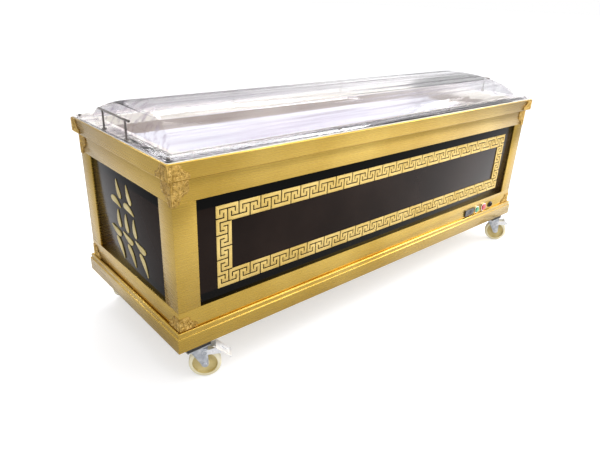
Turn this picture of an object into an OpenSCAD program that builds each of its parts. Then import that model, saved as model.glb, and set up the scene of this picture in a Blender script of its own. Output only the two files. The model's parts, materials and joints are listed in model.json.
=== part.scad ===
// Refrigerated display casket on casters: a framed, insulated cabinet with
// dark panels, a white liner and a clear lid that lifts off.
// Millimetres. +X runs along the casket, the controls are on the -Y side,
// +Z is up, and the origin is on the floor under the middle.

/* [Cabinet] */
// Length over the lip of the top frame
casket_l = 2200; // [1800:10:2600]
// Width over the lip of the top frame
casket_w = 780; // [660:10:960]
// Height from the underside of the plinth to the underside of the lip
body_h = 614; // [520:2:760]
// Height of the gap from the floor to the plinth
floor_gap = 160; // [154:1:200]
// Height of the lip of the top frame
lip_h = 58; // [44:1:80]
// How far the lip stands out over the cabinet faces
lip_out = 17; // [10:1:26]
// Height of the plinth without its bead
plinth_h = 57; // [40:1:80]
// How far the plinth stands out beyond the cabinet faces
plinth_out = 16; // [14:1:26]
// Height of the bead on the plinth
bead_h = 18; // [14:1:24]
// Thickness of the bead
bead_w = 12; // [6:1:13]

/* [Frame and panels] */
// Height of the bottom rail
bottom_rail_h = 90; // [76:1:130]
// Height of the top rail
top_rail_h = 78; // [70:1:120]
// Thickness of rails and corner posts
rail_t = 13; // [9:1:20]
// Width of a corner post on the long sides
post_long_w = 85; // [60:1:120]
// Width of a corner post on the ends
post_end_w = 91; // [60:1:120]
// Thickness of a panel
panel_t = 5; // [3:1:8]
// Thickness of the sheet floor of the plinth
floor_t = 4; // [2:1:8]

/* [Inside] */
// Clear length of the liner
inside_l = 2050; // [1700:10:2060]
// Clear width of the liner
inside_w = 610; // [480:10:620]
// Depth of the inside from the top of the lip to the liner floor
inside_depth = 420; // [300:5:470]
// Radius of the upright corners inside
inside_r = 45; // [20:1:80]
// Thickness of the liner sheet
liner_t = 3; // [2:0.5:6]
// Thickness of the insulation under the liner
insulation_t = 55; // [30:1:80]
// Thickness of the walls around the machine bay
bay_wall = 50; // [30:1:70]
// Thickness of the inner leg of the top frame
leg_t = 13; // [6:1:16]
// How far the inner leg reaches below the lip
leg_drop = 22; // [10:1:40]

/* [Lid] */
// Thickness of the white seal
seal_t = 3; // [2:0.5:5]
// How far the seal folds down inside the mouth
seal_drop = 35; // [20:1:50]
// Margin from the edge of the lip to the lid flange
flange_margin = 4; // [2:0.5:8]
// Thickness of the lid flange
flange_t = 5; // [3:0.5:8]
// Wall thickness of the dome
dome_t = 4; // [3:0.5:6]
// Distance from the end of the lip to the foot of the dome
dome_end_gap = 55; // [48:1:70]
// Distance from the long side of the lip to the foot of the dome
dome_side_gap = 70; // [60:1:76]
// Height of the dome above the lip
dome_h = 108; // [90:1:140]
// Height of the crease of the dome above the lip
crease_h = 42; // [30:1:50]
// How far the crease lies in from the foot
crease_in = 32; // [10:1:50]
// Radius of the curved ends of the dome
dome_end_r = 115; // [108:1:160]
// Diameter of a lid screw's head
screw_d = 14; // [8:1:18]
// Height of a lid screw's head
screw_h = 4; // [2:0.5:6]

/* [Lid handles] */
// Diameter of the handle rod
handle_d = 9; // [8:1:14]
// Height of the handle bar's middle above the lip
handle_h = 76; // [55:1:110]
// Length of the handle bar
handle_bar_l = 246; // [200:1:340]
// Distance between the handle posts
handle_post_pitch = 184; // [130:1:240]
// Diameter of the round foot under a post
handle_foot_d = 18; // [16:1:19]
// Height of the round foot under a post
handle_foot_h = 4; // [2:0.5:8]

/* [Fret and emblem] */
// Module of the fret: the distance between neighbouring lines
fret_step = 15.4; // [12:0.1:16.4]
// Number of keys along the long side of the fret
fret_keys = 20; // [14:1:20]
// Number of keys along the short side of the fret
fret_rows = 3; // [3:1:3]
// Width of the grooves of the fret, as part of its module
fret_groove = 0.28; // [0.2:0.01:0.36]
// Thickness of the fret
fret_t = 2; // [1:0.5:4]
// Width of the emblem on each end
emblem_w = 330; // [240:5:420]
// Height of the emblem on each end
emblem_h = 320; // [240:5:340]
// Thickness of the emblem strokes
emblem_t = 3; // [1:0.5:5]

/* [Corner ornaments] */
// Thickness of the pressed corner plates
ornament_t = 1.5; // [1:0.5:3]
// Width of a plate on the lip
lip_plate_w = 76; // [50:1:100]
// Height of a plate on the lip
lip_plate_h = 50; // [30:1:50]
// Width of a plate under the lip
upper_plate_w = 62; // [45:1:84]
// Height of a plate under the lip
upper_plate_h = 86; // [60:1:120]
// Width of a plate above the plinth
lower_plate_w = 70; // [45:1:84]
// Height of a plate above the plinth
lower_plate_h = 50; // [36:1:56]

/* [Controls] */
// Place of the middle of the display along the casket
display_x = 675; // [500:1:690]
// Width of the display
display_w = 82; // [60:1:90]
// Height of the display
display_h = 38; // [28:1:40]
// Place of the green button along the casket
green_x = 749; // [745:1:760]
// Diameter of the green button's cap
green_d = 30; // [22:1:32]
// Place of the red button along the casket
red_x = 816; // [812:1:822]
// Diameter of the red button's cap
red_d = 36; // [24:1:40]
// Place of the power inlet along the casket
inlet_x = 887; // [880:1:905]
// Diameter of the power inlet's flange
inlet_d = 34; // [26:1:36]
// Height of the controls above the underside of the plinth
control_z = 98; // [97:1:110]
// Travel of a push button
button_travel = 3; // [1:0.5:5]
// Radial running clearance of caps, pins and bores
run_gap = 0.05; // [0.02:0.01:0.1]

/* [Casters] */
// Diameter of a wheel
wheel_d = 118; // [90:1:122]
// Width of a wheel's tread
wheel_w = 32; // [24:1:40]
// Diameter of the axle
axle_d = 12; // [8:1:16]
// Trail from the swivel axis to the axle
trail = 35; // [25:1:45]
// Inset of the swivel axis from the plinth's end
caster_in_x = 89; // [89:1:140]
// Inset of the swivel axis from the plinth's side
caster_in_y = 52; // [52:1:140]
// Thickness of the fork sheet
fork_t = 3; // [2:0.5:5]
// Height of the block between plinth and caster plate
block_h = 25; // [10:1:30]
// Thickness of the caster plate
plate_t = 4; // [3:0.5:6]
// Heading of the left casters' trail, in degrees from the length
yaw_left = 33; // [20:1:40]
// Heading of the right casters' trail, in degrees from the length
yaw_right = 59; // [50:1:70]

/* [Hidden] */
$fn = 64;

// Corners, as signs of x and y
FRONT_LEFT = [-1, -1];
FRONT_RIGHT = [1, -1];
BACK_LEFT = [-1, 1];
BACK_RIGHT = [1, 1];

// Levels
z_plinth = floor_gap;
z_rail = z_plinth + plinth_h;
z_open_low = z_rail + bottom_rail_h;
z_lip = z_plinth + body_h;
z_open_high = z_lip - top_rail_h;
z_top = z_lip + lip_h;
z_seal = z_top + seal_t;
z_flange = z_seal + flange_t;

// Cabinet sizes
body_l = casket_l - 2 * lip_out;
body_w = casket_w - 2 * lip_out;
core_l = body_l - 2 * rail_t;
core_w = body_w - 2 * rail_t;
open_h = z_open_high - z_open_low;
open_l = body_l - 2 * post_long_w;
open_w = body_w - 2 * post_end_w;
panel_face = rail_t - panel_t;
edge_r = 4;

// Inside sizes
z_liner_floor = z_top - inside_depth;
z_leg = z_lip - leg_drop;
z_bay_top = z_liner_floor - liner_t - insulation_t;

// Lid sizes
dome_l = casket_l - 2 * dome_end_gap;
dome_w = casket_w - 2 * dome_side_gap;
crease_w = dome_w - 2 * crease_in;
crown_drop = dome_h - crease_h;
crown_r = (pow(crease_w / 2, 2) + pow(crown_drop, 2)) / (2 * crown_drop);
wall_lean = crease_in / crease_h;
flange_l = casket_l - 2 * flange_margin;
flange_w = casket_w - 2 * flange_margin;
flange_r = 12;
handle_x = flange_l / 2 - handle_foot_d / 2 - 1;
screw_y = (flange_w / 2 + dome_w / 2) / 2 + 4;
screw_x = flange_l / 2 - 20;

// Controls. Their line stays clear of the bead under the largest of them.
socket_depth = 34;
collar_wall = 2;
collar_rim = 5;
control_r = max(green_d / 2 + collar_rim, red_d / 2 + collar_rim, inlet_d / 2, display_h / 2);
z_control = z_plinth + max(control_z, plinth_h + bead_h + control_r);
collar_proud = 4;
cap_proud = 9;

// Casters
caster_x = body_l / 2 + plinth_out - caster_in_x;
caster_y = body_w / 2 + plinth_out - caster_in_y;
axle_z = wheel_d / 2;
z_plate = z_plinth - block_h - plate_t;
race_h = 4;
race_gap = 0.5;
z_fork = z_plate - race_gap - race_h - fork_t;
hub_w = wheel_w + 4;
cheek_in = hub_w / 2 + 1;
cheek_out = cheek_in + fork_t;
kingpin_r = 6;
plate_l = 96;
plate_w = 76;
block_margin = 2;
pedal_pin_r = 4;
pedal_t = 2.5;
pedal_gap = 0.5;
shoe_gap = 13;
shoe_r = 4;
pivot_u = trail + 1;
pivot_z = z_fork - 14;

// Rounded rectangle, centred
module round_rect(l, w, r) {
    square([l - 2 * r, w], center = true);
    square([l, w - 2 * r], center = true);
    for (x = [-1, 1], y = [-1, 1])
        translate([x * (l / 2 - r), y * (w / 2 - r)]) circle(r);
}

// Mitred ring around an l by w rectangle. The child is its profile:
// x runs outwards from the rectangle, y runs up.
module mitred_ring(l, w, reach, back, h) {
    for (turn = [0 : 90 : 270]) {
        along = turn % 180 == 0 ? l : w;
        off = turn % 180 == 0 ? w / 2 : l / 2;
        rotate([0, 0, turn]) intersection() {
            translate([-along / 2 - reach, -off, 0])
                rotate([90, 0, 90]) linear_extrude(along + 2 * reach) mirror([1, 0]) children();
            linear_extrude(h) polygon([
                [-along / 2 - reach, -off - reach], [along / 2 + reach, -off - reach],
                [along / 2 - back, -off + back], [-along / 2 + back, -off + back]
            ]);
        }
    }
}

// Belt of height h around the cabinet core, level with the cabinet faces
module belt(z, h) {
    translate([0, 0, z]) linear_extrude(h) difference() {
        square([body_l, body_w], center = true);
        square([core_l, core_w], center = true);
    }
}

// Puts a shape drawn for the front left corner at another corner
module at_corner(corner) {
    mirror([corner[0] > 0 ? 1 : 0, 0, 0])
        mirror([0, corner[1] > 0 ? 1 : 0, 0])
            children();
}

// Turns a shape drawn in X and Z, with y as depth, to face -Y at the given face
module on_front(face) {
    translate([0, -face, 0]) rotate([90, 0, 0]) children();
}

module plinth() {
    color("goldenrod") {
        translate([0, 0, z_plinth])
            mitred_ring(body_l, body_w, plinth_out, rail_t, plinth_h + bead_h) {
                union() {
                    translate([-rail_t, 0]) square([rail_t + plinth_out, plinth_h - edge_r]);
                    translate([-rail_t, 0]) square([rail_t + plinth_out - edge_r, plinth_h]);
                    translate([plinth_out - edge_r, plinth_h - edge_r]) circle(edge_r);
                    translate([0, plinth_h - 1]) square([bead_w, 1 + bead_h - bead_w / 2]);
                    translate([bead_w / 2, plinth_h + bead_h - bead_w / 2]) circle(bead_w / 2);
                }
            }
        translate([-core_l / 2, -core_w / 2, z_plinth]) cube([core_l, core_w, floor_t]);
    }
}

// Insulated core: the inside is cut from above and the machine bay from below
module carcass() {
    cavity_l = inside_l + 2 * liner_t;
    cavity_w = inside_w + 2 * liner_t;
    z_cavity = z_liner_floor - liner_t;
    color("whitesmoke") difference() {
        translate([-core_l / 2, -core_w / 2, z_plinth + floor_t])
            cube([core_l, core_w, body_h - floor_t]);
        translate([0, 0, z_cavity]) linear_extrude(z_top - z_cavity)
            round_rect(cavity_l, cavity_w, inside_r + liner_t);
        translate([0, 0, z_leg]) linear_extrude(lip_h + leg_drop)
            round_rect(inside_l + 2 * leg_t, inside_w + 2 * leg_t, inside_r + leg_t);
        translate([-core_l / 2 + bay_wall, -core_w / 2 + bay_wall, z_plinth])
            cube([core_l - 2 * bay_wall, core_w - 2 * bay_wall, z_bay_top - z_plinth]);
        control_holes();
    }
}

module liner() {
    color("white") difference() {
        translate([0, 0, z_liner_floor - liner_t]) linear_extrude(z_leg - z_liner_floor + liner_t)
            round_rect(inside_l + 2 * liner_t, inside_w + 2 * liner_t, inside_r + liner_t);
        translate([0, 0, z_liner_floor]) linear_extrude(inside_depth)
            round_rect(inside_l, inside_w, inside_r);
    }
}

module bottom_rail() {
    color("goldenrod") difference() {
        belt(z_rail, bottom_rail_h);
        control_holes();
    }
}

module top_rail() {
    color("goldenrod") belt(z_open_high, top_rail_h);
}

module corner_post(corner) {
    color("goldenrod") at_corner(corner) translate([-body_l / 2, -body_w / 2, z_open_low]) {
        cube([post_long_w, rail_t, open_h]);
        cube([rail_t, post_end_w, open_h]);
    }
}

module top_frame() {
    color("goldenrod") difference() {
        union() {
            translate([0, 0, z_lip]) mitred_ring(body_l, body_w, lip_out, 1, lip_h) {
                union() {
                    translate([-1, edge_r]) square([1 + lip_out, lip_h - 2 * edge_r]);
                    translate([-1, 0]) square([1 + lip_out - edge_r, lip_h]);
                    for (y = [edge_r, lip_h - edge_r])
                        translate([lip_out - edge_r, y]) circle(edge_r);
                }
            }
            translate([-body_l / 2, -body_w / 2, z_lip]) cube([body_l, body_w, lip_h]);
            translate([0, 0, z_leg]) linear_extrude(leg_drop + 1)
                round_rect(inside_l + 2 * leg_t, inside_w + 2 * leg_t, inside_r + leg_t);
        }
        translate([0, 0, z_leg - 1]) linear_extrude(lip_h + leg_drop + 2)
            round_rect(inside_l, inside_w, inside_r);
    }
}

module rim_seal() {
    color("ivory") difference() {
        union() {
            translate([0, 0, z_top]) linear_extrude(seal_t) round_rect(flange_l, flange_w, flange_r);
            translate([0, 0, z_top - seal_drop]) linear_extrude(seal_drop + 1)
                round_rect(inside_l, inside_w, inside_r);
        }
        translate([0, 0, z_top - seal_drop - 1]) linear_extrude(seal_drop + seal_t + 2)
            round_rect(inside_l - 2 * seal_t, inside_w - 2 * seal_t, inside_r - seal_t);
    }
}

// Panel in the opening of a long side or an end, drawn facing -Y
module panel(w, face) {
    color("#241c1a") translate([-w / 2, -face + panel_face, z_open_low]) cube([w, panel_t, open_h]);
}

// Key-shaped groove: a stem from the edge, a bar across it and two hooks.
// x runs along the edge and y away from it, in modules. The stem starts
// outside the edge, or on it where over is 0.
module key_groove(over = 1) {
    g = fret_groove;
    translate([-g / 2, -over]) square([g, 3 + over + g / 2]);
    translate([-2 - g / 2, 3 - g / 2]) square([4 + g, g]);
    for (x = [-2, 2])
        translate([x - g / 2, 2 - g / 2]) square([g, 1 + g / 2]);
}

// Grooves where two bands of the fret meet, at the corner of the origin
module corner_grooves() {
    g = fret_groove;
    translate([1 - g / 2, 4 - g / 2]) square([3 + g / 2, g]);
    translate([1 - g / 2, 4 - g / 2]) square([g, 2 + g]);
    translate([1 - g / 2, 6 - g / 2]) square([1 + g, g]);
    translate([-1, 3 - g / 2]) square([3 + g / 2, g]);
    translate([2 - g / 2, 2 - g / 2]) square([g, 1 + g]);
}

// The whole fret frame in modules, centred
module fret_outline() {
    across = 6 * fret_keys;
    up = 6 * fret_rows + 2;
    translate([-across / 2, -up / 2]) difference() {
        square([across, up]);
        translate([4, 4]) square([across - 8, up - 8]);
        for (side = [0, 1])
            translate([0, side * up]) mirror([0, side]) {
                for (k = [1 : fret_keys - 1]) translate([6 * k, 0]) key_groove();
                for (k = [0 : fret_keys - 1])
                    translate([6 * k + 3, 4]) mirror([0, 1])
                        key_groove(k == 0 || k == fret_keys - 1 ? 0 : 1);
            }
        for (side = [0, 1])
            translate([side * across, 0]) mirror([side, 0]) {
                for (k = [1 : fret_rows - 1]) translate([0, 6 * k + 1]) mirror([1, -1]) key_groove();
                for (k = [1 : fret_rows - 2])
                    translate([4, 6 * k + 4]) mirror([1, 0]) mirror([1, -1]) key_groove();
            }
        for (x = [0, 1], y = [0, 1])
            translate([x * across, y * up]) mirror([x, 0]) mirror([0, y]) corner_grooves();
    }
}

module fret() {
    color("khaki") translate([0, 0, (z_open_low + z_open_high) / 2])
        on_front(body_w / 2 - panel_face)
            linear_extrude(fret_t) scale([fret_step, fret_step]) fret_outline();
}

// Half width of a brush stroke at t from its head, 0, to its tail, 1
function stroke_half(t, thick) = thick / 2 * (0.08 + 0.92 * pow(sin(180 * pow(t, 0.6)), 0.8));

// One brush stroke of the given length along x, as an outline
module brush_stroke(len, thick, bow) {
    steps = 16;
    middle = [for (i = [0 : steps]) let (t = i / steps) [len * (t - 0.5), bow * sin(180 * t)]];
    half = [for (i = [0 : steps]) stroke_half(i / steps, thick)];
    polygon(concat(
        [for (i = [0 : steps]) middle[i] + [0, half[i]]],
        [for (i = [steps : -1 : 0]) middle[i] - [0, half[i]]]
    ));
}

// Rows of brush strokes, from the top. Each row is the height of its middle,
// the slant and the length of its strokes, and where their middles stand
// across the emblem. Heights, lengths and places are parts of its size.
EMBLEM_ROWS = [
    [0.89, 112, 0.24, [-0.15, 0.11]],
    [0.70, -14, 0.27, [-0.25, 0.08]],
    [0.51, 98, 0.23, [-0.20, 0.00, 0.20]],
    [0.33, 166, 0.27, [-0.31, 0.00, 0.31]],
    [0.12, -54, 0.30, [-0.24, 0.06, 0.36]]
];

module emblem() {
    stroke_thick = 0.085 * emblem_h;
    stroke_bow = 0.02 * emblem_h;
    color("darkkhaki") translate([0, 0, (z_open_low + z_open_high - emblem_h) / 2])
        on_front(body_l / 2 - panel_face) linear_extrude(emblem_t)
            for (row = EMBLEM_ROWS, across = row[3])
                translate([across * emblem_w, row[0] * emblem_h]) rotate(row[1])
                    brush_stroke(row[2] * emblem_h, stroke_thick, stroke_bow);
}

// Outline of one arm of a pressed corner plate, with its corner at the origin.
// A round bite leaves two narrowing limbs, with lobes along the bite.
module plate_outline(w, h) {
    least = min(w, h);
    bite = 0.7 * least;
    lobe = least / 9;
    difference() {
        union() {
            difference() {
                square([w, h]);
                translate([w, h]) circle(bite);
            }
            for (turn = [195 : 20 : 255])
                translate([w + bite * cos(turn), h + bite * sin(turn)]) circle(lobe);
        }
        for (turn = [205 : 20 : 245])
            translate([w + (bite + 1.6 * lobe) * cos(turn), h + (bite + 1.6 * lobe) * sin(turn)])
                circle(lobe * 0.5);
    }
}

// Plate folded around an upright corner of an l by w block, with its wide
// edge at z. It stands up from there, or hangs down if rise is -1.
module corner_plate(corner, l, w, z, plate_w, plate_h, rise = 1) {
    color("darkgoldenrod") at_corner(corner) translate([-l / 2, -w / 2, z]) mirror([0, 0, rise < 0 ? 1 : 0]) {
        rotate([90, 0, 0]) linear_extrude(ornament_t) plate_outline(plate_w, plate_h);
        mirror([1, -1, 0]) rotate([90, 0, 0]) linear_extrude(ornament_t) plate_outline(plate_w, plate_h);
        translate([-ornament_t, -ornament_t, 0]) cube([ornament_t, ornament_t, plate_h]);
    }
}

module lip_corner(corner) {
    corner_plate(corner, casket_l, casket_w, z_lip + edge_r, lip_plate_w, lip_plate_h);
}

module upper_corner(corner) {
    corner_plate(corner, body_l, body_w, z_lip, upper_plate_w, upper_plate_h, -1);
}

module lower_corner(corner) {
    corner_plate(corner, body_l, body_w, z_rail + bead_h, lower_plate_w, lower_plate_h);
}

// Round hole for a collar, through the rail into the core
module round_socket(x, r) {
    translate([x, -body_w / 2 - 1, z_control]) rotate([-90, 0, 0]) cylinder(r = r, h = socket_depth + 1);
}

module control_holes() {
    translate([display_x - display_w / 2 + 4, -body_w / 2 - 1, z_control - display_h / 2 + 4])
        cube([display_w - 8, socket_depth + 1, display_h - 8]);
    round_socket(green_x, green_d / 2 + collar_wall);
    round_socket(red_x, red_d / 2 + collar_wall);
    round_socket(inlet_x, inlet_d / 2 - 5);
}

module display() {
    color("#1a1a1c") translate([display_x, -body_w / 2, z_control]) difference() {
        union() {
            translate([-display_w / 2, -5, -display_h / 2]) cube([display_w, 5, display_h]);
            translate([-display_w / 2 + 4, -1, -display_h / 2 + 4])
                cube([display_w - 8, socket_depth + 1, display_h - 8]);
        }
        translate([-display_w * 0.36, -6, -display_h * 0.22]) cube([display_w * 0.5, 2, display_h * 0.52]);
    }
}

module inlet() {
    color("#161616") translate([inlet_x, -body_w / 2, z_control]) rotate([-90, 0, 0]) difference() {
        union() {
            translate([0, 0, -4]) cylinder(d = inlet_d, h = 4);
            translate([0, 0, -9]) cylinder(d = inlet_d - 10, h = 10);
            cylinder(r = inlet_d / 2 - 5, h = socket_depth);
        }
        translate([0, 0, -10]) cylinder(d = inlet_d - 15, h = 12);
    }
}

// Fixed collar of a push button, with the bore that guides its cap
module button_collar(x, cap_d) {
    color("silver") translate([x, -body_w / 2, z_control]) rotate([-90, 0, 0]) difference() {
        union() {
            translate([0, 0, -collar_proud]) cylinder(r = cap_d / 2 + collar_rim, h = collar_proud);
            translate([0, 0, -1]) cylinder(r = cap_d / 2 + collar_wall, h = socket_depth + 1);
        }
        translate([0, 0, -collar_proud - 1]) cylinder(d = cap_d, h = socket_depth + collar_proud - 1);
    }
}

module button_collars() {
    button_collar(green_x, green_d);
    button_collar(red_x, red_d);
}

module button_cap(x, cap_d, tone) {
    cap_r = cap_d / 2 - run_gap;
    color(tone) translate([x, -body_w / 2, z_control]) rotate([-90, 0, 0]) {
        translate([0, 0, -cap_proud]) cylinder(r1 = cap_r - 2, r2 = cap_r, h = 2);
        translate([0, 0, -cap_proud + 2]) cylinder(r = cap_r, h = socket_depth + cap_proud - button_travel - 6);
    }
}

// Cross-section of the dome, drawn with x across and y up from the lip,
// set in from the outer surface by inset
module dome_section(inset) {
    reach = inset * sqrt(1 + wall_lean * wall_lean);
    foot = dome_w / 2 - reach;
    intersection() {
        polygon([
            [-foot, 0], [foot, 0],
            [foot - wall_lean * dome_h, dome_h], [-foot + wall_lean * dome_h, dome_h]
        ]);
        translate([0, dome_h - crown_r]) circle(crown_r - inset, $fn = 180);
    }
}

// Side view of the dome, drawn with x along the casket
module dome_profile(inset) {
    straight = dome_l - 2 * dome_end_r;
    z_mid = dome_h - dome_end_r;
    intersection() {
        union() {
            translate([-straight / 2, 0]) square([straight, dome_h - inset]);
            for (x = [-1, 1])
                translate([x * straight / 2, z_mid]) circle(dome_end_r - inset, $fn = 96);
        }
        translate([-dome_l / 2, 0]) square([dome_l, dome_h]);
    }
}

module dome_block(inset) {
    intersection() {
        translate([-dome_l / 2, 0, 0]) rotate([90, 0, 90]) linear_extrude(dome_l) dome_section(inset);
        translate([0, dome_w / 2, 0]) rotate([90, 0, 0]) linear_extrude(dome_w) dome_profile(inset);
    }
}

module lid_dome() {
    color("lavender", 0.4) difference() {
        union() {
            translate([0, 0, z_seal]) linear_extrude(flange_t) round_rect(flange_l, flange_w, flange_r);
            intersection() {
                translate([0, 0, z_top]) dome_block(0);
                translate([-dome_l, -dome_w, z_seal]) cube([2 * dome_l, 2 * dome_w, dome_h]);
            }
        }
        translate([0, 0, z_top]) dome_block(dome_t);
    }
}

module lid_screws() {
    color("#303030")
        for (x = [-1, -1 / 3, 1 / 3, 1], y = [-1, 1])
            translate([x * screw_x, y * screw_y, z_flange]) cylinder(d1 = screw_d, d2 = screw_d - 3, h = screw_h);
}

// Lid handle: a bar on two posts with round feet, side is the sign of x
module lid_handle(side) {
    z_bar = z_top + handle_h;
    color("dimgray") translate([side * handle_x, 0, 0]) {
        translate([0, -handle_bar_l / 2, z_bar]) rotate([-90, 0, 0]) cylinder(d = handle_d, h = handle_bar_l);
        for (y = [-1, 1]) translate([0, y * handle_post_pitch / 2, z_flange]) {
            cylinder(d = handle_d - 2, h = z_bar - z_flange);
            cylinder(d = handle_foot_d, h = handle_foot_h);
        }
    }
}

// Heading of a caster's trail
function caster_yaw(corner) = corner[1] * (corner[0] < 0 ? yaw_left : yaw_right);

// Swivel axis at the origin and the trail along +X, moved to its corner
module at_caster(corner) {
    translate([corner[0] * caster_x, corner[1] * caster_y, 0]) rotate([0, 0, caster_yaw(corner)]) children();
}

// Block between the plinth and the caster's plate
module caster_block(corner) {
    color("#202020") translate([corner[0] * caster_x, corner[1] * caster_y, z_plate + plate_t + block_h / 2])
        cube([plate_l - 2 * block_margin, plate_w - 2 * block_margin, block_h], center = true);
}

// Plate of the caster, with the kingpin that holds the fork
module caster_plate(corner) {
    head_h = 5;
    z_head = z_fork - race_gap - head_h;
    color("silver") translate([corner[0] * caster_x, corner[1] * caster_y, 0]) {
        translate([-plate_l / 2, -plate_w / 2, z_plate]) cube([plate_l, plate_w, plate_t]);
        translate([0, 0, z_head]) cylinder(r = kingpin_r, h = z_plate - z_head + 1);
        translate([0, 0, z_head]) cylinder(r = kingpin_r + 4, h = head_h);
    }
}

// Fork: top plate with its ball race, two cheeks, the axle and the pedal's pins
module caster_fork(corner) {
    cheek_top = z_fork + fork_t;
    eye_r = 13;
    color("lightsteelblue") at_caster(corner) difference() {
        union() {
            translate([0, 0, z_fork]) cylinder(r = 30, h = fork_t);
            translate([0, 0, cheek_top]) cylinder(r = 26, h = race_h);
            translate([-22, -cheek_out, z_fork]) cube([trail + 34, 2 * cheek_out, fork_t]);
            for (side = [-1, 1]) {
                translate([0, side * (cheek_in + fork_t / 2) + fork_t / 2, 0]) rotate([90, 0, 0])
                    linear_extrude(fork_t) {
                        polygon([
                            [-22, cheek_top], [trail + 12, cheek_top],
                            [trail + eye_r, axle_z], [trail - eye_r, axle_z]
                        ]);
                        translate([trail, axle_z]) circle(eye_r);
                    }
                translate([trail, side * (cheek_out + 2.5) + 2.5, axle_z]) rotate([90, 0, 0])
                    cylinder(r = 9, h = 5);
                pin_l = pedal_t + 2 * pedal_gap;
                translate([pivot_u, side * (cheek_out + pin_l / 2) + pin_l / 2, pivot_z]) rotate([90, 0, 0])
                    cylinder(r = pedal_pin_r, h = pin_l);
                translate([pivot_u, side * (cheek_out + pin_l + 1) + 1, pivot_z]) rotate([90, 0, 0])
                    cylinder(r = pedal_pin_r + 3, h = 2);
            }
            translate([trail, cheek_out, axle_z]) rotate([90, 0, 0]) cylinder(d = axle_d, h = 2 * cheek_out);
        }
        translate([0, 0, z_fork - 1]) cylinder(r = kingpin_r + run_gap, h = fork_t + race_h + 2);
    }
}

module caster_wheel(corner) {
    r = wheel_d / 2;
    round_r = 7;
    rim_r = r - 14;
    hub_r = axle_d / 2 + 9;
    web = 10;
    color("wheat") at_caster(corner) translate([trail, 0, axle_z]) rotate([90, 0, 0]) rotate_extrude($fn = 96)
        difference() {
            union() {
                translate([0, -hub_w / 2]) square([hub_r, hub_w]);
                translate([0, -web / 2]) square([rim_r + 1, web]);
                translate([rim_r, -wheel_w / 2]) square([r - rim_r - round_r, wheel_w]);
                translate([rim_r, -wheel_w / 2 + round_r]) square([r - rim_r, wheel_w - 2 * round_r]);
                for (y = [-1, 1])
                    translate([r - round_r, y * (wheel_w / 2 - round_r)]) circle(round_r);
            }
            translate([0, -hub_w]) square([axle_d / 2 + run_gap, 2 * hub_w]);
        }
}

// Point at the given place along and above a line that slopes down from start
function down_slope(start, slope, place) =
    start + place[0] * [cos(slope), -sin(slope)] + place[1] * [sin(slope), cos(slope)];

// Brake pedal: two arms on the fork's pins, the shoe bar and the tread
module brake_pedal(corner) {
    arm_in = cheek_out + pedal_gap;
    arm_out = arm_in + pedal_t;
    tread_l = 66;
    tread_half = arm_out + 1;
    tread_slope = 38;
    tread_top = [pivot_u + 40, pivot_z + 24];
    tread_mid = [[2, -pedal_t / 2], [20, -pedal_t / 2]];
    // The shoe bar stands off the tread of the wheel, up the slope at 45 degrees
    shoe_reach = (wheel_d / 2 + shoe_gap + shoe_r) * cos(45);
    shoe = [trail + shoe_reach, axle_z + shoe_reach];
    color("gainsboro") at_caster(corner) difference() {
        union() {
            for (side = [-1, 1])
                translate([0, side * (arm_in + pedal_t / 2) + pedal_t / 2, 0]) rotate([90, 0, 0])
                    linear_extrude(pedal_t) {
                        translate([pivot_u, pivot_z]) circle(9);
                        polygon([
                            [pivot_u - 2, pivot_z + 8], down_slope(tread_top, tread_slope, tread_mid[0]),
                            down_slope(tread_top, tread_slope, tread_mid[1]), [shoe[0] + 7, shoe[1] - 5],
                            [pivot_u, pivot_z - 8]
                        ]);
                    }
            translate([shoe[0], arm_out - 1, shoe[1]]) rotate([90, 0, 0]) cylinder(r = shoe_r, h = 2 * (arm_out - 1));
            translate([tread_top[0], 0, tread_top[1]]) rotate([0, tread_slope, 0])
                translate([0, -tread_half, -pedal_t]) {
                    cube([tread_l, 2 * tread_half, pedal_t]);
                    translate([tread_l, 0, pedal_t / 2]) rotate([-90, 0, 0]) cylinder(r = 3.5, h = 2 * tread_half);
                }
        }
        translate([pivot_u, 2 * arm_out, pivot_z]) rotate([90, 0, 0])
            cylinder(r = pedal_pin_r + run_gap, h = 4 * arm_out);
        translate([tread_top[0], 0, tread_top[1]]) rotate([0, tread_slope, 0])
            translate([tread_l * 0.4, -3, -2 * pedal_t]) cube([tread_l * 0.4, 6, 4 * pedal_t]);
    }
}

plinth();
carcass();
liner();
bottom_rail();
top_rail();
corner_post(FRONT_LEFT);  // post_front_left
corner_post(FRONT_RIGHT);  // post_front_right
corner_post(BACK_LEFT);  // post_back_left
corner_post(BACK_RIGHT);  // post_back_right
top_frame();
rim_seal();
panel(open_l, body_w / 2);  // panel_front
rotate([0, 0, 180]) panel(open_l, body_w / 2);  // panel_back
rotate([0, 0, -90]) panel(open_w, body_l / 2);  // panel_left
rotate([0, 0, 90]) panel(open_w, body_l / 2);  // panel_right
fret();  // fret_front
rotate([0, 0, 180]) fret();  // fret_back
rotate([0, 0, -90]) emblem();  // emblem_left
rotate([0, 0, 90]) emblem();  // emblem_right
lip_corner(FRONT_LEFT);  // lip_corner_front_left
lip_corner(FRONT_RIGHT);  // lip_corner_front_right
lip_corner(BACK_LEFT);  // lip_corner_back_left
lip_corner(BACK_RIGHT);  // lip_corner_back_right
upper_corner(FRONT_LEFT);  // upper_corner_front_left
upper_corner(FRONT_RIGHT);  // upper_corner_front_right
upper_corner(BACK_LEFT);  // upper_corner_back_left
upper_corner(BACK_RIGHT);  // upper_corner_back_right
lower_corner(FRONT_LEFT);  // lower_corner_front_left
lower_corner(FRONT_RIGHT);  // lower_corner_front_right
lower_corner(BACK_LEFT);  // lower_corner_back_left
lower_corner(BACK_RIGHT);  // lower_corner_back_right
display();
inlet();
button_collars();
button_cap(green_x, green_d, "green");  // green_button
button_cap(red_x, red_d, "red");  // red_button
lid_dome();
lid_screws();
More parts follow.
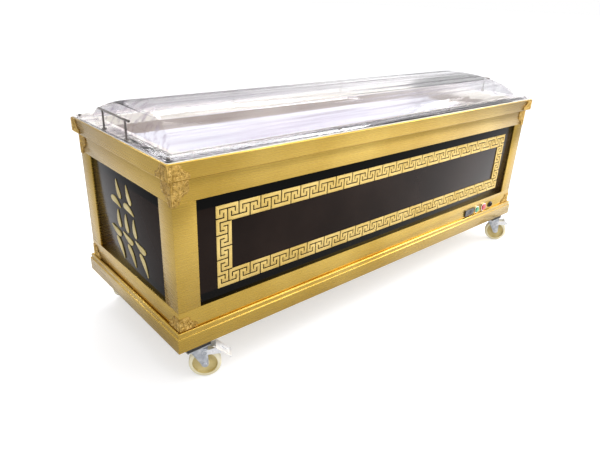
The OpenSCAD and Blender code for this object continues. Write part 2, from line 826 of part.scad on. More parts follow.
lid_handle(-1);  // handle_left
lid_handle(1);  // handle_right
caster_block(FRONT_LEFT);  // caster_block_front_left
caster_block(FRONT_RIGHT);  // caster_block_front_right
caster_block(BACK_LEFT);  // caster_block_back_left
caster_block(BACK_RIGHT);  // caster_block_back_right
caster_plate(FRONT_LEFT);  // caster_plate_front_left
caster_plate(FRONT_RIGHT);  // caster_plate_front_right
caster_plate(BACK_LEFT);  // caster_plate_back_left
caster_plate(BACK_RIGHT);  // caster_plate_back_right
caster_fork(FRONT_LEFT);  // caster_fork_front_left
caster_fork(FRONT_RIGHT);  // caster_fork_front_right
caster_fork(BACK_LEFT);  // caster_fork_back_left
caster_fork(BACK_RIGHT);  // caster_fork_back_right
caster_wheel(FRONT_LEFT);  // caster_wheel_front_left
caster_wheel(FRONT_RIGHT);  // caster_wheel_front_right
caster_wheel(BACK_LEFT);  // caster_wheel_back_left
caster_wheel(BACK_RIGHT);  // caster_wheel_back_right
brake_pedal(FRONT_LEFT);  // brake_pedal_front_left
brake_pedal(FRONT_RIGHT);  // brake_pedal_front_right
brake_pedal(BACK_LEFT);  // brake_pedal_back_left
brake_pedal(BACK_RIGHT);  // brake_pedal_back_right
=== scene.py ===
import json
import math
import random

import bpy
from mathutils import Matrix, Vector

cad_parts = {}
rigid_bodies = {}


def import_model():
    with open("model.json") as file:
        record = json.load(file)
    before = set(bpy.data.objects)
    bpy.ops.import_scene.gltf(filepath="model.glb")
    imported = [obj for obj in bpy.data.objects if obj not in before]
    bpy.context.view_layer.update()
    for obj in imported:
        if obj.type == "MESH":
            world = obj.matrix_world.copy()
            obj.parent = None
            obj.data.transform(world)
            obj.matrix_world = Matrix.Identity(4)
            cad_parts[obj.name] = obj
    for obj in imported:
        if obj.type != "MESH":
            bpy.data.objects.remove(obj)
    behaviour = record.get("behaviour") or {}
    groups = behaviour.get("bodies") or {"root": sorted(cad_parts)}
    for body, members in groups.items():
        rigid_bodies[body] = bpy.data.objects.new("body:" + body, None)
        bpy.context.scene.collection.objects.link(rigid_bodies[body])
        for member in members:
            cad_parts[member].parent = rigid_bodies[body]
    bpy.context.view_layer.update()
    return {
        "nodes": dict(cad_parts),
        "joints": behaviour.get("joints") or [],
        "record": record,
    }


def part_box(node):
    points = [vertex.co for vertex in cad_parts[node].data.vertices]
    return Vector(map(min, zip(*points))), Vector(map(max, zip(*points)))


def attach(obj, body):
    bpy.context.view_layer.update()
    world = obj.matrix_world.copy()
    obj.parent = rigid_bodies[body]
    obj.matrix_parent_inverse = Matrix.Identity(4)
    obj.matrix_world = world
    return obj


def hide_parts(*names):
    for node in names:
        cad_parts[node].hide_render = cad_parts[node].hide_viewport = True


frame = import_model()
nodes = frame["nodes"]
corners = ["front_left", "front_right", "back_left", "back_right"]
bodyOf = {n: b for b, members in frame["record"]["behaviour"]["bodies"].items() for n in members}
print("frame loaded,", len(nodes), "nodes")


def deselectAll():
    for o in bpy.context.view_layer.objects:
        o.select_set(False)


def makeActive(piece):
    deselectAll()
    piece.select_set(True)
    bpy.context.view_layer.objects.active = piece


def applyModifier(piece, kind, **values):
    modifier = piece.modifiers.new(kind.title(), kind)
    for key, value in values.items():
        setattr(modifier, key, value)
    makeActive(piece)
    bpy.ops.object.modifier_apply(modifier=modifier.name)


def setMaterial(piece, *materials):
    piece.data.materials.clear()
    for m in materials:
        piece.data.materials.append(m)


def joinPieces(pieces):
    deselectAll()
    for piece in pieces:
        piece.select_set(True)
    bpy.context.view_layer.objects.active = pieces[0]
    bpy.ops.object.join()
    return pieces[0]


def newGroup(name, inputs, outputs):
    group = bpy.data.node_groups.new(name, "ShaderNodeTree")
    for label, kind, value in inputs:
        socket = group.interface.new_socket(name=label, in_out="INPUT", socket_type=kind)
        socket.default_value = value
    for label, kind in outputs:
        group.interface.new_socket(name=label, in_out="OUTPUT", socket_type=kind)
    start = group.nodes.new("NodeGroupInput")
    end = group.nodes.new("NodeGroupOutput")
    return group, start, end


surface = {
    "grainDetail": 4.0, "grainDepth": 0.0004, "toneDetail": 5.0, "toneSpread": (0.35, 0.65),
    "dust": (0.62, 0.60, 0.56), "coatRough": 0.05,
}


def makeGrainGroup():
    # stretched noise: brush lines on metal, faint streaks on a polished panel
    group, start, end = newGroup(
        "surfaceGrain",
        [("Stretch", "NodeSocketVector", (4.0, 4.0, 300.0)), ("Strength", "NodeSocketFloat", 0.1)],
        [("Mask", "NodeSocketFloat"), ("Normal", "NodeSocketVector")])
    n, link = group.nodes, group.links.new
    place = n.new("ShaderNodeTexCoord")
    mapping = n.new("ShaderNodeMapping")
    noise = n.new("ShaderNodeTexNoise")
    noise.inputs["Scale"].default_value = 1.0
    noise.inputs["Detail"].default_value = surface["grainDetail"]
    bump = n.new("ShaderNodeBump")
    bump.inputs["Distance"].default_value = surface["grainDepth"]
    link(place.outputs["Object"], mapping.inputs["Vector"])
    link(start.outputs["Stretch"], mapping.inputs["Scale"])
    link(mapping.outputs["Vector"], noise.inputs["Vector"])
    link(noise.outputs["Fac"], bump.inputs["Height"])
    link(start.outputs["Strength"], bump.inputs["Strength"])
    link(noise.outputs["Fac"], end.inputs["Mask"])
    link(bump.outputs["Normal"], end.inputs["Normal"])
    return group


def makeToneGroup():
    # slow drift between two tones, with a little dust on what faces up
    group, start, end = newGroup(
        "toneDrift",
        [("Tone A", "NodeSocketColor", (1, 1, 1, 1)), ("Tone B", "NodeSocketColor", (1, 1, 1, 1)),
         ("Scale", "NodeSocketFloat", 6.0), ("Dust", "NodeSocketFloat", 0.0)],
        [("Color", "NodeSocketColor")])
    n, link = group.nodes, group.links.new
    place = n.new("ShaderNodeTexCoord")
    noise = n.new("ShaderNodeTexNoise")
    noise.inputs["Detail"].default_value = surface["toneDetail"]
    spread = n.new("ShaderNodeMapRange")
    low, high = surface["toneSpread"]
    spread.inputs["From Min"].default_value = low
    spread.inputs["From Max"].default_value = high
    mix = n.new("ShaderNodeMix")
    mix.data_type = "RGBA"
    facing = n.new("ShaderNodeNewGeometry")
    parts = n.new("ShaderNodeSeparateXYZ")
    amount = n.new("ShaderNodeMath")
    amount.operation = "MULTIPLY"
    amount.use_clamp = True
    dusty = n.new("ShaderNodeMix")
    dusty.data_type = "RGBA"
    dusty.inputs["B"].default_value = (*surface["dust"], 1)
    link(place.outputs["Object"], noise.inputs["Vector"])
    link(start.outputs["Scale"], noise.inputs["Scale"])
    link(noise.outputs["Fac"], spread.inputs["Value"])
    link(spread.outputs["Result"], mix.inputs["Factor"])
    link(start.outputs["Tone A"], mix.inputs["A"])
    link(start.outputs["Tone B"], mix.inputs["B"])
    link(facing.outputs["Normal"], parts.inputs["Vector"])
    link(parts.outputs["Z"], amount.inputs[0])
    link(start.outputs["Dust"], amount.inputs[1])
    link(amount.outputs["Value"], dusty.inputs["Factor"])
    link(mix.outputs["Result"], dusty.inputs["A"])
    link(dusty.outputs["Result"], end.inputs["Color"])
    return group


grainGroup = makeGrainGroup()
toneGroup = makeToneGroup()


def makeFinish(name, look):
    material = bpy.data.materials.new(name)
    material.use_nodes = True
    n, link = material.node_tree.nodes, material.node_tree.links.new
    shader = n["Principled BSDF"]
    shader.inputs["Metallic"].default_value = look.get("metallic", 0.0)
    shader.inputs["Coat Weight"].default_value = look.get("coat", 0.0)
    shader.inputs["Coat Roughness"].default_value = surface["coatRough"]
    shader.inputs["IOR"].default_value = look.get("ior", 1.5)
    tone = n.new("ShaderNodeGroup")
    tone.node_tree = toneGroup
    tone.inputs["Tone A"].default_value = (*look["toneA"], 1)
    tone.inputs["Tone B"].default_value = (*look["toneB"], 1)
    tone.inputs["Scale"].default_value = look["scale"]
    tone.inputs["Dust"].default_value = look.get("dust", 0.0)
    grain = n.new("ShaderNodeGroup")
    grain.node_tree = grainGroup
    grain.inputs["Stretch"].default_value = look["stretch"]
    grain.inputs["Strength"].default_value = look["grain"]
    rough = n.new("ShaderNodeMapRange")
    low, high = look["rough"]
    rough.inputs["To Min"].default_value = low
    rough.inputs["To Max"].default_value = high
    link(tone.outputs["Color"], shader.inputs["Base Color"])
    link(grain.outputs["Mask"], rough.inputs["Value"])
    link(rough.outputs["Result"], shader.inputs["Roughness"])
    link(grain.outputs["Normal"], shader.inputs["Normal"])
    return material


finishes = {
    "goldSteel": {"toneA": (0.47, 0.30, 0.050), "toneB": (0.60, 0.41, 0.095), "metallic": 1.0,
                  "rough": (0.20, 0.34), "stretch": (3, 3, 500), "grain": 0.07, "scale": 2.5, "coat": 0.2},
    "fretGold": {"toneA": (0.68, 0.48, 0.14), "toneB": (0.80, 0.60, 0.22), "metallic": 1.0,
                 "rough": (0.28, 0.42), "stretch": (200, 200, 200), "grain": 0.08, "scale": 9},
    "emblemGold": {"toneA": (0.52, 0.42, 0.16), "toneB": (0.70, 0.58, 0.27), "metallic": 1.0,
                   "rough": (0.25, 0.42), "stretch": (120, 120, 120), "grain": 0.15, "scale": 14},
    "antiqueGold": {"toneA": (0.50, 0.31, 0.06), "toneB": (0.82, 0.60, 0.22), "metallic": 1.0,
                    "rough": (0.26, 0.50), "stretch": (500, 500, 500), "grain": 0.25, "scale": 70},
    # ornament plate ground: dark brown as painted shade in the filigree's perforations and recesses
    "paintedShadeGround": {"toneA": (0.26, 0.15, 0.032), "toneB": (0.60, 0.40, 0.115), "metallic": 1.0,
                     "rough": (0.40, 0.62), "stretch": (500, 500, 500), "grain": 0.3, "scale": 90},
    "innerLeg": {"toneA": (0.36, 0.30, 0.25), "toneB": (0.50, 0.44, 0.38), "metallic": 0.6,
                 "rough": (0.34, 0.50), "stretch": (3, 3, 300), "grain": 0.1, "scale": 3},
    "whiteLiner": {"toneA": (0.86, 0.87, 0.90), "toneB": (0.92, 0.92, 0.94),
                   "rough": (0.12, 0.24), "stretch": (8, 8, 8), "grain": 0.05, "coat": 0.4, "scale": 3},
    "coreBoard": {"toneA": (0.70, 0.69, 0.66), "toneB": (0.78, 0.77, 0.73),
                  "rough": (0.6, 0.8), "stretch": (90, 90, 90), "grain": 0.2, "scale": 12},
    "ivorySeal": {"toneA": (0.86, 0.82, 0.70), "toneB": (0.92, 0.89, 0.80),
                  "rough": (0.45, 0.62), "stretch": (120, 120, 120), "grain": 0.15, "scale": 10},
    "zincSteel": {"toneA": (0.42, 0.45, 0.50), "toneB": (0.66, 0.68, 0.72), "metallic": 0.75,
                  "rough": (0.28, 0.48), "stretch": (150, 150, 150), "grain": 0.2, "scale": 60, "dust": 0.05},
    # brake pedal zinc: painted near white and less metallic, a painted highlight where the pedal catches the
    # light
    "pedalZincPaintedHighlight": {"toneA": (0.80, 0.82, 0.85), "toneB": (0.92, 0.92, 0.94), "metallic": 0.3,
                  "rough": (0.22, 0.38), "stretch": (150, 150, 150), "grain": 0.15, "scale": 60},
    "creamNylon": {"toneA": (0.82, 0.74, 0.46), "toneB": (0.90, 0.84, 0.62),
                   "rough": (0.30, 0.45), "stretch": (90, 90, 90), "grain": 0.1, "coat": 0.2, "scale": 22,
                   "dust": 0.05},
    "webNylon": {"toneA": (0.58, 0.46, 0.17), "toneB": (0.72, 0.60, 0.28),
                 "rough": (0.38, 0.52), "stretch": (90, 90, 90), "grain": 0.15, "scale": 22},
    "blackPlastic": {"toneA": (0.018, 0.018, 0.020), "toneB": (0.034, 0.034, 0.036),
                     "rough": (0.14, 0.28), "stretch": (200, 200, 200), "grain": 0.08, "coat": 0.3,
                     "scale": 20},
    "blackBlock": {"toneA": (0.016, 0.016, 0.016), "toneB": (0.040, 0.038, 0.036),
                   "rough": (0.5, 0.7), "stretch": (200, 200, 200), "grain": 0.3, "scale": 30, "dust": 0.1},
    "greenCap": {"toneA": (0.02, 0.20, 0.07), "toneB": (0.08, 0.42, 0.17),
                 "rough": (0.10, 0.20), "stretch": (80, 80, 80), "grain": 0.05, "coat": 0.8, "scale": 50},
    "redCap": {"toneA": (0.40, 0.010, 0.018), "toneB": (0.62, 0.03, 0.04),
               "rough": (0.10, 0.20), "stretch": (80, 80, 80), "grain": 0.05, "coat": 0.8, "scale": 50},
    "collarChrome": {"toneA": (0.74, 0.74, 0.76), "toneB": (0.84, 0.84, 0.86), "metallic": 1.0,
                     "rough": (0.08, 0.16), "stretch": (200, 200, 200), "grain": 0.05, "scale": 20},
    "darkSteel": {"toneA": (0.13, 0.115, 0.105), "toneB": (0.25, 0.22, 0.20), "metallic": 1.0,
                  "rough": (0.14, 0.28), "stretch": (200, 200, 200), "grain": 0.1, "scale": 30},
}
looks = {name: makeFinish(name, look) for name, look in finishes.items()}


panelLook = {
    "border": (0.003, 0.0028, 0.0025),
    "fieldA": (0.010, 0.0055, 0.004),
    "fieldB": (0.020, 0.012, 0.009),
    "rough": (0.08, 0.20),
    "stretch": (2.0, 2.0, 30),
    "ior": 1.18,
    "fretHalfHeight": 0.154,
    "edgeBlur": 0.002,
}


def makePanelFinish():
    # darker outside the fret and streaked inside it
    material = makeFinish("darkPanel", {
        "toneA": panelLook["fieldA"], "toneB": panelLook["fieldB"], "rough": panelLook["rough"],
        "stretch": panelLook["stretch"], "grain": 0.04, "ior": panelLook["ior"], "scale": 3.0})
    n, link = material.node_tree.nodes, material.node_tree.links.new
    shader = n["Principled BSDF"]
    tone = [x for x in n if x.type == "GROUP" and x.node_tree == toneGroup][0]
    low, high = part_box("panel_front")
    place = n.new("ShaderNodeTexCoord")
    mapping = n.new("ShaderNodeMapping")
    mapping.inputs["Location"].default_value = (0, 0, -(low.z + high.z) / 2)
    parts = n.new("ShaderNodeSeparateXYZ")
    height = n.new("ShaderNodeMath")
    height.operation = "ABSOLUTE"
    edge = n.new("ShaderNodeMapRange")
    edge.inputs["From Min"].default_value = panelLook["fretHalfHeight"] - panelLook["edgeBlur"]
    edge.inputs["From Max"].default_value = panelLook["fretHalfHeight"] + panelLook["edgeBlur"]
    mix = n.new("ShaderNodeMix")
    mix.data_type = "RGBA"
    mix.inputs["B"].default_value = (*panelLook["border"], 1)
    link(place.outputs["Object"], mapping.inputs["Vector"])
    link(mapping.outputs["Vector"], parts.inputs["Vector"])
    link(parts.outputs["Z"], height.inputs[0])
    link(height.outputs["Value"], edge.inputs["Value"])
    link(edge.outputs["Result"], mix.inputs["Factor"])
    link(tone.outputs["Color"], mix.inputs["A"])
    link(mix.outputs["Result"], shader.inputs["Base Color"])
    return material


looks["darkPanel"] = makePanelFinish()

acrylic = {
    "clear": (0.975, 0.972, 0.985), "streak": (0.68, 0.63, 0.70), "streakFrom": 0.47, "streakTo": 0.68,
    "rough": (0.02, 0.30), "roughFrom": 0.45, "roughTo": 0.75,
    "ior": 1.15, "stretch": (0.9, 34, 34), "grain": 0.55,
}


def makeAcrylicFinish():
    # clear, with long faint darker streaks along its length, rougher where they run
    material = bpy.data.materials.new("clearAcrylic")
    material.use_nodes = True
    n, link = material.node_tree.nodes, material.node_tree.links.new
    shader = n["Principled BSDF"]
    shader.inputs["IOR"].default_value = acrylic["ior"]
    shader.inputs["Transmission Weight"].default_value = 1.0
    grain = n.new("ShaderNodeGroup")
    grain.node_tree = grainGroup
    grain.inputs["Stretch"].default_value = acrylic["stretch"]
    grain.inputs["Strength"].default_value = acrylic["grain"]
    rough = n.new("ShaderNodeMapRange")
    rough.inputs["From Min"].default_value = acrylic["roughFrom"]
    rough.inputs["From Max"].default_value = acrylic["roughTo"]
    rough.inputs["To Min"].default_value, rough.inputs["To Max"].default_value = acrylic["rough"]
    fade = n.new("ShaderNodeMapRange")
    fade.inputs["From Min"].default_value = acrylic["streakFrom"]
    fade.inputs["From Max"].default_value = acrylic["streakTo"]
    tint = n.new("ShaderNodeMix")
    tint.data_type = "RGBA"
    tint.inputs["A"].default_value = (*acrylic["clear"], 1)
    tint.inputs["B"].default_value = (*acrylic["streak"], 1)
    link(grain.outputs["Mask"], fade.inputs["Value"])
    link(fade.outputs["Result"], tint.inputs["Factor"])
    link(tint.outputs["Result"], shader.inputs["Base Color"])
    link(grain.outputs["Mask"], rough.inputs["Value"])
    link(rough.outputs["Result"], shader.inputs["Roughness"])
    link(grain.outputs["Normal"], shader.inputs["Normal"])
    return material


looks["clearAcrylic"] = makeAcrylicFinish()
print("finishes made,", len(looks))


softEdge = {"weldWithin": 0.000005, "flatWithin": 0.6, "segments": 2, "angle": 32}


def softCopy(node, look, ease, angle=softEdge["angle"]):
    source = nodes[node]
    piece = bpy.data.objects.new(node + "Finish", source.data.copy())
    bpy.context.scene.collection.objects.link(piece)
    makeActive(piece)
    bpy.ops.mesh.customdata_custom_splitnormals_clear()
    bpy.ops.object.mode_set(mode="EDIT")
    bpy.ops.mesh.select_all(action="SELECT")
    bpy.ops.mesh.remove_doubles(threshold=softEdge["weldWithin"])
    bpy.ops.mesh.dissolve_limited(angle_limit=math.radians(softEdge["flatWithin"]))
    bpy.ops.object.mode_set(mode="OBJECT")
    if ease > 0:
        applyModifier(piece, "BEVEL", width=ease, segments=softEdge["segments"], limit_method="ANGLE",
                      angle_limit=math.radians(angle), use_clamp_overlap=True)
    makeActive(piece)
    bpy.ops.object.shade_smooth_by_angle(angle=math.radians(angle))
    setMaterial(piece, looks[look])
    return piece


def settle(piece, *replaced):
    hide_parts(*replaced)
    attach(piece, bodyOf[replaced[0]])


easedPieces = {
    "plinth": ("goldSteel", 0.0008), "bottom_rail": ("goldSteel", 0.0010), "top_rail": ("goldSteel", 0.0010),
    "top_frame": ("goldSteel", 0.0008), "carcass": ("coreBoard", 0.0), "liner": ("whiteLiner", 0.0),
    "rim_seal": ("ivorySeal", 0.0006), "lid_screws": ("darkSteel", 0.0005),
    "display": ("blackPlastic", 0.0010),
    "inlet": ("blackPlastic", 0.0008), "button_collars": ("collarChrome", 0.0006),
    "green_button": ("greenCap", 0.0008), "red_button": ("redCap", 0.0008),
    "handle_left": ("darkSteel", 0.0008), "handle_right": ("darkSteel", 0.0008),
    "fret_front": ("fretGold", 0.0003), "fret_back": ("fretGold", 0.0003),
    "emblem_left": ("emblemGold", 0.0012), "emblem_right": ("emblemGold", 0.0012),
}
for side in ("front", "back", "left", "right"):
    easedPieces["panel_" + side] = ("darkPanel", 0.0004)
for corner in corners:
    easedPieces["post_" + corner] = ("goldSteel", 0.0010)
    easedPieces["caster_block_" + corner] = ("blackBlock", 0.0010)
    easedPieces["caster_plate_" + corner] = ("zincSteel", 0.0006)
    easedPieces["caster_fork_" + corner] = ("zincSteel", 0.0006)
    # the pedals' near-white zinc is a painted highlight
    easedPieces["brake_pedal_" + corner] = ("pedalZincPaintedHighlight", 0.0006)
for node, (look, ease) in easedPieces.items():
    settle(softCopy(node, look, ease), node)
print("eased pieces made,", len(easedPieces))


innerLeg = {"within": 0.99, "steepBelow": 0.7}


def finishInnerLeg():
    # the frame's folded leg inside the mouth is duller than what faces out
    piece = bpy.data.objects["top_frameFinish"]
    piece.data.materials.append(looks["innerLeg"])
    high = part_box("rim_seal")[1]
    for face in piece.data.polygons:
        share = max(abs(face.center.x) / high.x, abs(face.center.y) / high.y)
        if share < innerLeg["within"] and abs(face.normal.z) < innerLeg["steepBelow"]:
            face.material_index = 1


finishInnerLeg()

lid = {"ease": 0.0008, "lift": 0.0003, "smoothTo": 40}


def makeLid():
    # the flange's underside is lifted a hair off the seal, so that the two don't share a face
    piece = softCopy("lid_dome", "clearAcrylic", lid["ease"], angle=lid["smoothTo"])
    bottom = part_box("lid_dome")[0].z
    for v in piece.data.vertices:
        if v.co.z < bottom + lid["lift"]:
            v.co.z = bottom + lid["lift"]
    settle(piece, "lid_dome")


makeLid()
print("lid made")


# cream tread and hub, darker web between them
wheel = {"treadDepth": 0.013, "hubTo": 0.0155, "ease": 0.0008}


def makeWheel(corner):
    node = "caster_wheel_" + corner
    piece = softCopy(node, "creamNylon", wheel["ease"])
    setMaterial(piece, looks["creamNylon"], looks["webNylon"])
    low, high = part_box(node)
    middle = (low + high) / 2
    treadFrom = (high.z - low.z) / 2 - wheel["treadDepth"]
    joint = [j for j in frame["joints"] if j["child"] == "wheel_" + corner][0]
    axis = Vector(joint["axis"])
    points = piece.data.vertices
    for face in piece.data.polygons:
        reaches = [(points[i].co - middle).cross(axis).length for i in face.vertices]
        radius = sum(reaches) / len(reaches)
        face.material_index = 1 if wheel["hubTo"] < radius < treadFrom else 0
    settle(piece, node)


for corner in corners:
    makeWheel(corner)
print("wheels made")


ornament = {
    "thick": 0.0015, "beadR": 0.0019, "beadStep": 0.0046, "grainR": 0.0013, "grainStep": 0.0050,
    "scrollR": 0.0013, "scrollTurns": 1.35, "scrollSteps": 26, "scrollSink": 0.0004, "scrollCloses": 0.86,
    "cornerScroll": (0.19, 0.105), "armScroll": (0.15, 0.085), "armScrollsFrom": (0.34, 0.52),
    "scrollFull": 1.15, "scrollThins": 0.5, "scrollShift": 0.1, "scrollRoom": 0.2,
    "squash": 0.7, "bite": 0.7, "grainJitter": 0.25, "grainMargin": 2.6, "plateEase": 0.0004, "seed": 7,
}


def bead(radius):
    deselectAll()
    bpy.ops.mesh.primitive_ico_sphere_add(subdivisions=2, radius=radius, location=(0, 0, 0))
    piece = bpy.context.object
    bpy.ops.object.shade_smooth()
    return piece


def scatter(source, places):
    copies = []
    for u, v in places:
        one = bpy.data.objects.new("bead", source.data.copy())
        one.data.transform(Matrix.Translation((u, 0, v)) @ Matrix.Diagonal((1, ornament["squash"], 1, 1)))
        bpy.context.scene.collection.objects.link(one)
        copies.append(one)
    return copies


def scroll(startU, startV, size, turn, hand):
    curve = bpy.data.curves.new("scroll", "CURVE")
    curve.dimensions = "3D"
    curve.bevel_depth = ornament["scrollR"]
    curve.bevel_resolution = 2
    line = curve.splines.new("POLY")
    steps = ornament["scrollSteps"]
    line.points.add(steps)
    for i in range(steps + 1):
        t = i / steps
        angle = turn + hand * ornament["scrollTurns"] * 2 * math.pi * t
        reach = size * (1 - ornament["scrollCloses"] * t)
        u, v = startU + reach * math.cos(angle), startV + reach * math.sin(angle)
        line.points[i].co = (u, -ornament["scrollSink"] * t, v, 1)
        line.points[i].radius = ornament["scrollFull"] - ornament["scrollThins"] * t
    piece = bpy.data.objects.new("scroll", curve)
    bpy.context.scene.collection.objects.link(piece)
    makeActive(piece)
    bpy.ops.object.convert(target="MESH")
    bpy.ops.object.shade_smooth()
    return bpy.context.object


def insidePlate(u, v, width, height, margin):
    bite = ornament["bite"] * min(width, height)
    clear = math.hypot(u - width, v - height) > bite + margin
    return margin < u < width - margin and margin < v < height - margin and clear


def armRelief(width, height):
    # relief of one arm, drawn with u along X and v along Z, proud towards -Y
    r, step = ornament["beadR"], ornament["beadStep"]
    bite = ornament["bite"] * min(width, height)
    edge = [(u * step + r, r) for u in range(int((width - 2 * r) / step) + 1)]
    edge += [(r, v * step + 2 * r + step * 0.4) for v in range(int((height - 3 * r) / step))]
    count = int(bite * math.pi / 2 / step)
    for i in range(count + 1):
        angle = math.radians(180 + 90 * i / count)
        u, v = width + (bite + r) * math.cos(angle), height + (bite + r) * math.sin(angle)
        if u < width - r and v < height - r:
            edge.append((u, v))
    dice = random.Random(ornament["seed"])
    ground = []
    gap = ornament["grainStep"]
    for i in range(int(width / gap)):
        for k in range(int(height / gap)):
            u = (i + 0.5 + ornament["grainJitter"] * dice.uniform(-1, 1)) * gap
            v = (k + 0.5 + ornament["grainJitter"] * dice.uniform(-1, 1)) * gap
            if insidePlate(u, v, width, height, ornament["grainMargin"] * r):
                ground.append((u, v))
    big, small = bead(r), bead(ornament["grainR"])
    pieces = scatter(big, edge) + scatter(small, ground)
    least = min(width, height)
    # each scroll: place along, place up, size, first angle, hand
    cornerAt, cornerSize = ornament["cornerScroll"]
    spots = [(cornerAt * least, cornerAt * least, cornerSize * least, 0.6, 1)]
    armAt, armSize = ornament["armScroll"]
    shift, room = ornament["scrollShift"] * least, ornament["scrollRoom"] * least
    for t in ornament["armScrollsFrom"]:
        if t * width < width - room:
            spots.append((t * width + shift, armAt * least, armSize * least, 2.4, -1))
        if t * height < height - room:
            spots.append((armAt * least, t * height + shift, armSize * least, -0.6, 1))
    pieces += [scroll(*spot) for spot in spots]
    for spare in (big, small):
        bpy.data.objects.remove(spare)
    return joinPieces(pieces)


def placeOrnament(node, relief, length, width, z, rise):
    # the plate's dark brown ground is painted shade for the perforations and recesses between the relief
    plate = softCopy(node, "paintedShadeGround", ornament["plateEase"])
    sideX = 1 if "right" in node else -1
    sideY = 1 if "back" in node else -1
    along = relief.data.copy()
    across = relief.data.copy()
    thick = ornament["thick"]
    # the drawn arm runs from its corner along +X; the end arm has X and Y swapped
    front = Matrix.Translation((-length / 2, -width / 2 - thick, z)) @ Matrix.Diagonal((1, 1, rise, 1))
    swap = Matrix(((0, 1, 0, 0), (1, 0, 0, 0), (0, 0, 1, 0), (0, 0, 0, 1)))
    end = Matrix.Translation((-length / 2 - thick, -width / 2, z)) @ Matrix.Diagonal((1, 1, rise, 1)) @ swap
    mirror = Matrix.Diagonal((-sideX, -sideY, 1, 1))
    parts = [plate]
    for mesh, matrix in ((along, mirror @ front), (across, mirror @ end)):
        mesh.transform(matrix)
        if matrix.determinant() < 0:
            mesh.flip_normals()
        part = bpy.data.objects.new("relief", mesh)
        bpy.context.scene.collection.objects.link(part)
        setMaterial(part, looks["antiqueGold"])
        parts.append(part)
    settle(joinPieces(parts), node)


def makeOrnaments(prefix, rise):
    low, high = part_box(prefix + "_corner_front_left")
    thick = ornament["thick"]
    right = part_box(prefix + "_corner_front_right")[1]
    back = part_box(prefix + "_corner_back_left")[1]
    length = right.x - low.x - 2 * thick
    width = back.y - low.y - 2 * thick
    relief = armRelief(high.x - low.x - thick, high.z - low.z)
    z = high.z if rise < 0 else low.z
    for corner in corners:
        placeOrnament(prefix + "_corner_" + corner, relief, length, width, z, rise)
    bpy.data.objects.remove(relief)


makeOrnaments("lip", 1)
makeOrnaments("upper", -1)
makeOrnaments("lower", 1)
print("ornaments made")


studio = {
    "floor": (0.58, 0.58, 0.585), "floorRough": 0.85, "floorGlow": 0.50, "floorSize": 300,
    "air": (1.0, 1.0, 1.0), "lowAir": (0.70, 0.70, 0.71), "highAir": (1.0, 1.0, 1.02), "highFrom": 0.75,
    "airStrength": 1.0, "sideFrom": 0.55, "sideTo": 0.95, "sideLift": 1.9,
    "lamps": [
        # name, place, aim, size, watts, tint
        ("overhead", (0.2, 0.1, 3.4), (0, 0, 0.8), (4.2, 1.5), 80, (1.0, 1.0, 1.0)),
        ("frontKey", (1.6, -3.6, 2.2), (0.2, 0, 0.5), (3.0, 1.4), 58, (1.0, 0.98, 0.94)),
        ("leftFill", (-3.6, 1.6, 1.8), (-0.6, 0, 0.5), (1.6, 1.6), 2, (0.95, 0.97, 1.0)),
        ("rightGlow", (3.4, -1.6, 2.4), (3.2, -1.4, 0), (2.4, 2.0), 110, (1.0, 1.0, 1.0)),
        ("ridgeStrip", (0.4, 1.7, 2.4), (0, 0, 0.85), (3.6, 0.25), 40, (0.96, 0.96, 1.0)),
    ],
}


def makeFloor():
    deselectAll()
    bpy.ops.mesh.primitive_plane_add(size=studio["floorSize"], location=(0, 0, 0))
    floor = bpy.context.object
    floor.name = "studioFloor"
    material = bpy.data.materials.new("paleFloor")
    material.use_nodes = True
    shader = material.node_tree.nodes["Principled BSDF"]
    shader.inputs["Base Color"].default_value = (*studio["floor"], 1)
    shader.inputs["Roughness"].default_value = studio["floorRough"]
    shader.inputs["Emission Strength"].default_value = studio["floorGlow"]
    # the glow whitens the floor to look at, and lights nothing
    seen = material.node_tree.nodes.new("ShaderNodeLightPath")
    material.node_tree.links.new(seen.outputs["Is Camera Ray"], shader.inputs["Emission Color"])
    setMaterial(floor, material)


def makeLights():
    for name, place, aim, size, watts, tint in studio["lamps"]:
        lamp = bpy.data.lights.new(name, "AREA")
        lamp.shape = "RECTANGLE"
        lamp.size, lamp.size_y = size
        lamp.energy = watts
        lamp.color = tint
        holder = bpy.data.objects.new(name, lamp)
        bpy.context.scene.collection.objects.link(holder)
        holder.location = place
        holder.rotation_euler = (Vector(aim) - Vector(place)).to_track_quat("-Z", "Y").to_euler()


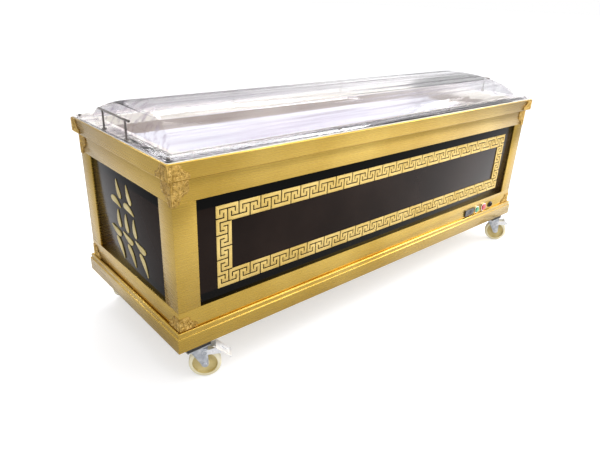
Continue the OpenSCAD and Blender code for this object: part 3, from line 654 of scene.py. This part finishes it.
def makeAir():
    # white to look at, and graded from a dark low band to a bright ceiling in reflections
    world = bpy.data.worlds.new("studioAir")
    world.use_nodes = True
    n, link = world.node_tree.nodes, world.node_tree.links.new
    shade = n["Background"]
    place = n.new("ShaderNodeTexCoord")
    parts = n.new("ShaderNodeSeparateXYZ")
    ramp = n.new("ShaderNodeValToRGB")
    ramp.color_ramp.elements[0].position = 0.0
    ramp.color_ramp.elements[0].color = (*studio["lowAir"], 1)
    ramp.color_ramp.elements[1].position = studio["highFrom"]
    ramp.color_ramp.elements[1].color = (*studio["highAir"], 1)
    seen = n.new("ShaderNodeLightPath")
    mix = n.new("ShaderNodeMix")
    mix.data_type = "RGBA"
    mix.inputs["B"].default_value = (*studio["air"], 1)
    # brighter towards the end with the controls
    side = n.new("ShaderNodeMapRange")
    side.inputs["From Min"].default_value = studio["sideFrom"]
    side.inputs["From Max"].default_value = studio["sideTo"]
    side.inputs["To Max"].default_value = studio["sideLift"]
    side.inputs["To Min"].default_value = 1.0
    lift = n.new("ShaderNodeVectorMath")
    lift.operation = "SCALE"
    link(place.outputs["Generated"], parts.inputs["Vector"])
    link(parts.outputs["Z"], ramp.inputs["Fac"])
    link(parts.outputs["X"], side.inputs["Value"])
    link(ramp.outputs["Color"], lift.inputs["Vector"])
    link(side.outputs["Result"], lift.inputs["Scale"])
    link(lift.outputs["Vector"], mix.inputs["A"])
    link(seen.outputs["Is Camera Ray"], mix.inputs["Factor"])
    link(mix.outputs["Result"], shade.inputs["Color"])
    shade.inputs["Strength"].default_value = studio["airStrength"]
    bpy.context.scene.world = world
    bpy.context.scene.view_settings.view_transform = "Standard"


# the height of the place is above the plinth's underside
view = {"place": (-1.76830, -1.72291, 1.12727), "aim": (0.61261752, 0.68235438, -0.39886374),
        "roll": 2.3742, "lens": 31.164, "sensor": 36}


def makeCamera():
    forward = Vector(view["aim"]).normalized()
    level = forward.cross(Vector((0, 0, 1))).normalized()
    upright = level.cross(forward)
    c, s = math.cos(math.radians(view["roll"])), math.sin(math.radians(view["roll"]))
    x = c * level + s * upright
    y = -s * level + c * upright
    z = -forward
    lens = bpy.data.cameras.new("studioCamera")
    lens.lens = view["lens"]
    lens.sensor_width = view["sensor"]
    camera = bpy.data.objects.new("studioCamera", lens)
    bpy.context.scene.collection.objects.link(camera)
    place = Vector(view["place"]) + Vector((0, 0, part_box("plinth")[0].z))
    camera.matrix_world = Matrix.Translation(place) @ Matrix((x, y, z)).transposed().to_4x4()
    bpy.context.scene.camera = camera


makeFloor()
makeLights()
makeAir()
makeCamera()
print("studio made")
